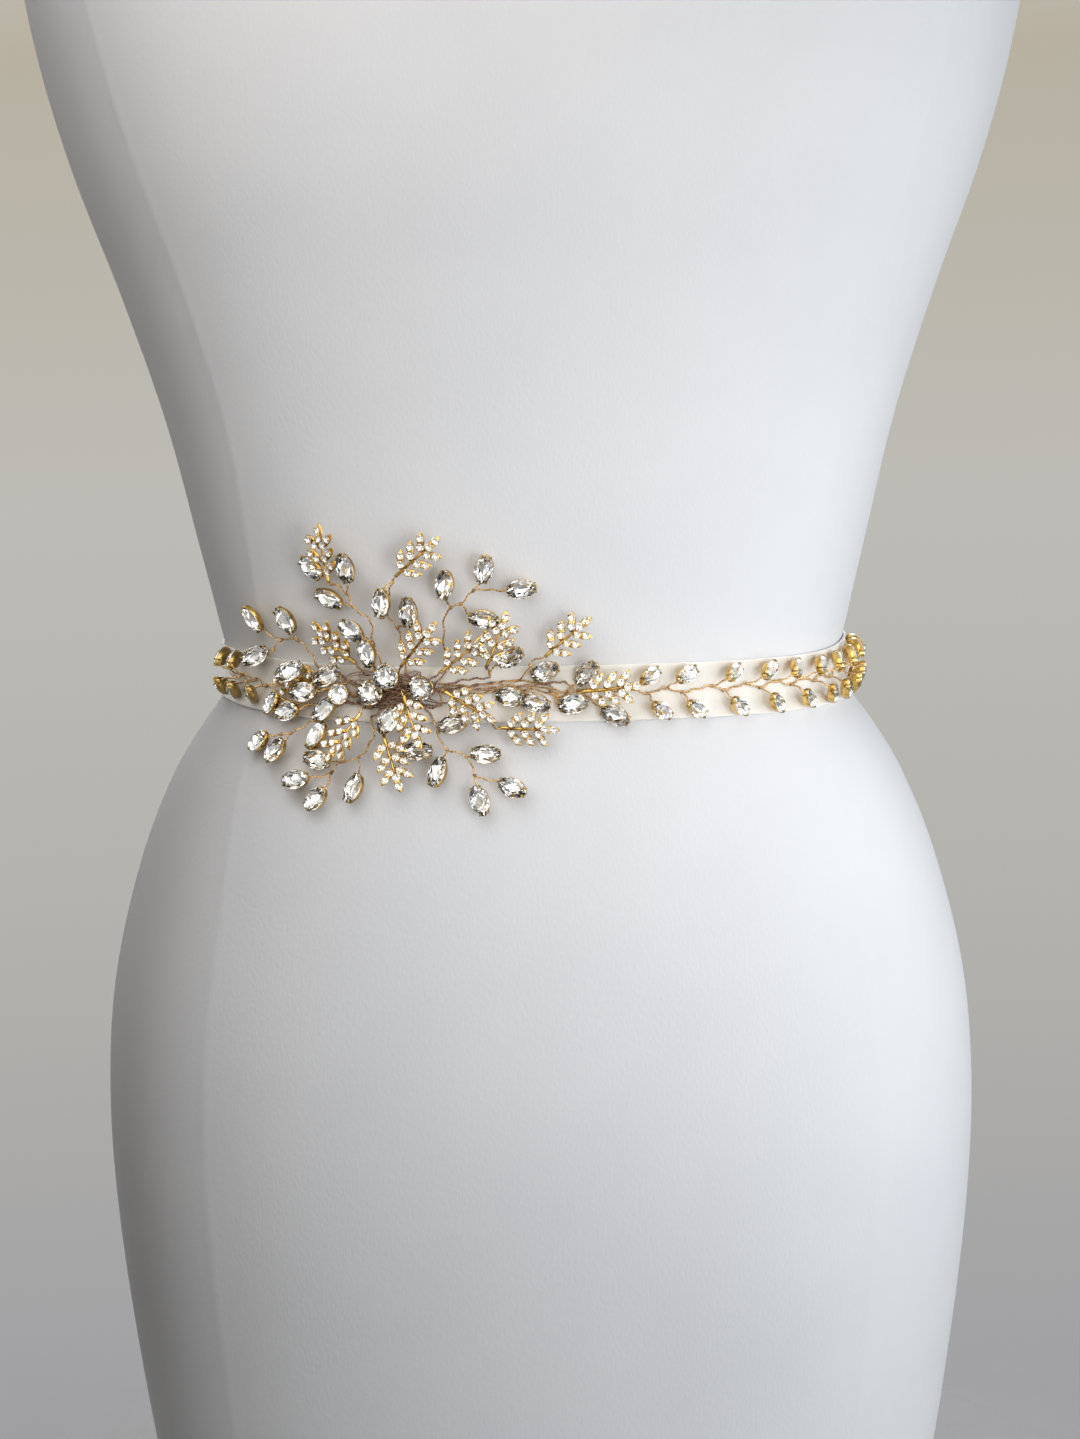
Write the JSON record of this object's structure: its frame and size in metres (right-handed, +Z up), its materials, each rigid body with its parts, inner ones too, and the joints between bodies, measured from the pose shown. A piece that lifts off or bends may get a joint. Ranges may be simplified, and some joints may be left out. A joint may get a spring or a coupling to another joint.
{
  "type": "bridal sash on a dress form",
  "caption": "Ivory satin ribbon sash round the waist of a limbless dress form, with a gold wire vine and a side spray of marquise crystals and cast fern leaves.",
  "frame": {"origin": "centre of the dress form's flat underside, on the surface that it stands on", "axes": "+Z up, -Y out of the front, +X to the right seen from the front"},
  "size_m": [0.4062, 0.2673, 0.852],
  "materials": {
    "form_cover": "white stretch jersey, matt, fine grained",
    "ribbon": "ivory ribbed satin, soft sheen",
    "gold_wire": "twisted copper-gold wire and gold-plated claw cups",
    "gold_leaf": "gold-plated casting",
    "crystal": "clear cut crystal with a foiled back"
  },
  "bodies": {
    "root": {"dress_form": "form_cover", "ribbon": "ribbon", "spray_upper_left": "gold_wire", "spray_upper_middle": "gold_wire", "spray_upper_right": "gold_wire", "spray_right_inner": "gold_wire", "spray_right": "gold_wire", "spray_inner": "gold_wire", "spray_left_upper": "gold_wire", "spray_left": "gold_wire", "spray_left_low": "gold_wire", "spray_lower_outer": "gold_wire", "spray_lower_left": "gold_wire", "spray_lower_middle": "gold_wire", "spray_lower_right": "gold_wire", "spray_stem_right": "gold_wire", "leaf_upper_left": "gold_leaf", "leaf_upper_middle": "gold_leaf", "leaf_right_inner": "gold_leaf", "leaf_right": "gold_leaf", "leaf_centre_up": "gold_leaf", "leaf_centre_right": "gold_leaf", "leaf_centre_left": "gold_leaf", "leaf_centre_low_left": "gold_leaf", "leaf_low": "gold_leaf", "leaf_centre_low": "gold_leaf", "leaf_centre_low_right": "gold_leaf", "leaf_low_right": "gold_leaf", "leaf_vine": "gold_leaf", "leaf_far_left": "gold_leaf", "vine_right": "gold_wire", "vine_left": "gold_wire", "cup_heart": "gold_wire", "stone_heart": "crystal", "cup_heart_left": "gold_wire", "stone_heart_left": "crystal", "cup_heart_far_left": "gold_wire", "stone_heart_far_left": "crystal", "cup_heart_right": "gold_wire", "stone_heart_right": "crystal"}
  },
  "joints": []
}
